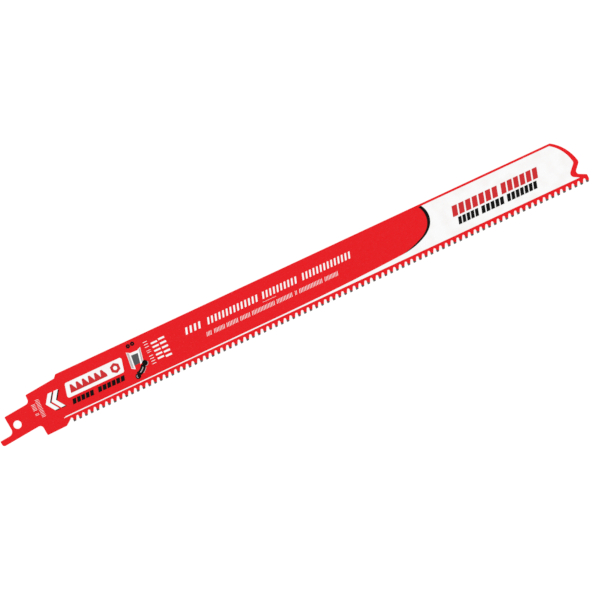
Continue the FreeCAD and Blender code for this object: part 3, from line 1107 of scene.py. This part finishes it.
    def chevrons(self) -> None:
        """Print the pair of white chevrons over their dark shadows."""
        pair = Chevrons()
        self.add_motif("chevrons_shadow", Ink.BLACK, [
            self.plate(outline) for outline in pair.outlines(pair.shadow)])
        self.add_motif("chevrons_white", Ink.WHITE, [
            self.plate(outline, 1) for outline in pair.outlines()])

    def label_motif(self) -> None:
        """Print the row of red saw teeth and the red nut on the label plate."""
        self.add_motif("label_teeth", Ink.RED, [self.plate(ToothSign().outline(), 1)])
        self.add_motif("label_nut", Ink.RED, [self.nut(self.label_nut, 1)])

    def stock_motif(self) -> None:
        """Print the small picture of stock that the blade cuts: nuts, a beam and a pipe."""
        beam, pipe = BeamSign(), PipeSign()
        self.add_motif("stock_nuts", Ink.BLACK, [self.nut(nut) for nut in self.stock_nuts])
        self.add_motif("stock_beam_flanges", Ink.WHITE, [self.plate(beam.flanges())])
        self.add_motif("stock_beam_shades", Ink.SILVER, [
            self.plate(shade, 1) for shade in beam.shades])
        self.add_motif("stock_beam_web", Ink.GREY, [self.plate(beam.web())])
        self.add_motif("stock_pipe_body", Ink.BLACK, [self.plate(pipe.body().outline())] + [
            self.plate(end, 1) for end in pipe.ends()])
        self.add_motif("stock_pipe_shine", Ink.SILVER, [
            self.plate(gleam.outline(), gleam.layer) for gleam in pipe.gleams()])


@dataclass
class Studio:
    """The plain white floor, the soft lights and the camera of the photograph.

    middle is the point of the blade at the centre of the photograph, frame_width is what the
    photograph spans at the printed face, and cant is the blade's slope in it, in degrees.
    """

    floor_half: float = 4000.0
    floor_drop: float = 0.16
    sky_colour: str = "#FFFFFF"
    sky_light: float = 1.03
    sky_glare: float = 0.07
    lamps: int = 4
    lamp_reach: float = 1600.0
    lamp_height: float = 40.0
    lamp_turn: float = 22.5
    lamp_size: float = 700.0
    lamp_watts: float = 2.3
    middle: Point = (153.04, 0.06)
    frame_width: float = 294.7
    face: float = FACE
    cant: float = 25.02
    lens: float = 200.0
    sensor: float = 36.0
    nearest: float = 10.0
    table: LitAcrylic = field(default_factory=LitAcrylic)

    def build(self) -> None:
        """Set the floor, the sky, the lights and the camera."""
        self.lay_floor()
        self.light()
        self.aim()
        log.info("studio: floor, %d lamps and camera", self.lamps)

    def lay_floor(self) -> None:
        """Lay the floor just under the tips."""
        half = self.floor_half * MM
        mesh = bpy.data.meshes.new("floor")
        mesh.from_pydata([(-half, -half, 0), (half, -half, 0), (half, half, 0),
                          (-half, half, 0)], [], [(0, 1, 2, 3)])
        mesh.transform(Matrix.Translation((self.middle[0] * MM, 0, -self.floor_drop * MM)))
        mesh.materials.append(self.table.material())
        floor = new_object("floor", mesh)

    def light(self) -> None:
        """Light the blade evenly from all round.

        The sky's light is as good as polarised: it lights the blade, but it glares little in
        the gloss, and the camera sees it white.
        """
        world = bpy.data.worlds.new("studio_sky")
        world.use_nodes = True
        tree = world.node_tree
        tree.nodes.clear()
        path = add_node(tree, "ShaderNodeLightPath")
        lit = add_node(tree, "ShaderNodeMix", {
            "Factor": path.outputs["Is Glossy Ray"], "A": self.sky_light, "B": self.sky_glare},
            data_type="FLOAT")
        seen = add_node(tree, "ShaderNodeMix", {
            "Factor": path.outputs["Is Camera Ray"], "A": lit.outputs["Result"], "B": 1.0},
            data_type="FLOAT")
        sky = add_node(tree, "ShaderNodeBackground", {
            "Color": linear(self.sky_colour), "Strength": seen.outputs["Result"]})
        add_node(tree, "ShaderNodeOutputWorld", {"Surface": sky.outputs[0]})
        world.cycles.sampling_method = "NONE"
        bpy.context.scene.world = world
        target = Vector((self.middle[0] * MM, 0, 0))
        slope = math.radians(self.lamp_height)
        for index in range(self.lamps):
            turn = math.radians(self.lamp_turn + 360 * index / self.lamps)
            back = Vector((math.cos(turn) * math.cos(slope), math.sin(turn) * math.cos(slope),
                           math.sin(slope)))
            lamp = bpy.data.lights.new(f"softbox_{index}", "AREA")
            lamp.size = self.lamp_size * MM
            lamp.energy = self.lamp_watts
            holder = new_object(f"softbox_{index}", lamp)
            holder.location = target + back * self.lamp_reach * MM
            holder.rotation_euler = back.to_track_quat("Z", "Y").to_euler()
            holder.visible_camera = False

    def aim(self) -> None:
        """Point the camera straight down, turned as the photograph is."""
        lens = bpy.data.cameras.new("camera")
        lens.lens = self.lens
        lens.sensor_width = self.sensor
        lens.clip_start = self.nearest * MM
        camera = new_object("camera", lens)
        height = self.frame_width * self.lens / self.sensor
        camera.location = Vector((*self.middle, self.face + height)) * MM
        camera.rotation_euler = (0, 0, -math.radians(self.cant))
        bpy.context.scene.camera = camera
        bpy.context.scene.view_settings.view_transform = "Standard"


def main() -> None:
    """Build the studio and each part of the blade."""
    logging.basicConfig(level=logging.INFO)
    for part in (Studio(), Strip(), TipRow(), Print()):
        part.build()


if __name__ == "__main__":
    main()
